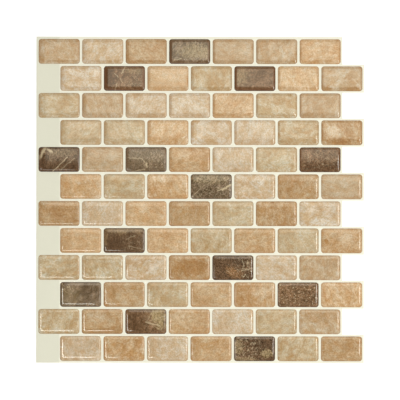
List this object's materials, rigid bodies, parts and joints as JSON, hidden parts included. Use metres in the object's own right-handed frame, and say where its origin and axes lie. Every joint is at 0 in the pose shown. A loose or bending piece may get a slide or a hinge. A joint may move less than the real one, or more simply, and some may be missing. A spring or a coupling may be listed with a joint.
{
  "type": "peel and stick backsplash tile",
  "caption": "Self-adhesive sheet of gel-domed stone-print bricks in running bond, with a stepped edge that interlocks with the next sheet.",
  "frame": {"origin": "middle of the sheet's length and height, on the back of the release liner", "axes": "+X along the rows to the right as seen from the front, +Y up the wall, +Z out of the wall, through the gel"},
  "size_m": [0.3052, 0.3038, 0.0019],
  "materials": {
    "beige_gel": "gloss clear gel over a beige travertine print",
    "honey_gel": "gloss clear gel over a honey travertine print",
    "dark_gel": "gloss clear gel over a dark brown marble print",
    "ivory_vinyl": "satin ivory vinyl film",
    "liner_paper": "smooth coated release paper"
  },
  "bodies": {
    "root": {"beige_tiles_row_01": "beige_gel", "beige_tiles_row_02": "beige_gel", "beige_tiles_row_03": "beige_gel", "beige_tiles_row_04": "beige_gel", "beige_tiles_row_05": "beige_gel", "beige_tiles_row_06": "beige_gel", "beige_tiles_row_07": "beige_gel", "beige_tiles_row_08": "beige_gel", "beige_tiles_row_09": "beige_gel", "beige_tiles_row_10": "beige_gel", "beige_tiles_row_11": "beige_gel", "beige_tiles_row_12": "beige_gel", "dark_tiles_row_01": "dark_gel", "dark_tiles_row_02": "dark_gel", "dark_tiles_row_05": "dark_gel", "dark_tiles_row_06": "dark_gel", "dark_tiles_row_08": "dark_gel", "dark_tiles_row_09": "dark_gel", "dark_tiles_row_10": "dark_gel", "dark_tiles_row_11": "dark_gel", "dark_tiles_row_12": "dark_gel", "honey_tiles_row_01": "honey_gel", "honey_tiles_row_02": "honey_gel", "honey_tiles_row_03": "honey_gel", "honey_tiles_row_04": "honey_gel", "honey_tiles_row_05": "honey_gel", "honey_tiles_row_06": "honey_gel", "honey_tiles_row_07": "honey_gel", "honey_tiles_row_08": "honey_gel", "honey_tiles_row_09": "honey_gel", "honey_tiles_row_10": "honey_gel", "honey_tiles_row_11": "honey_gel", "honey_tiles_row_12": "honey_gel", "release_liner": "liner_paper", "vinyl_sheet": "ivory_vinyl"}
  },
  "joints": []
}
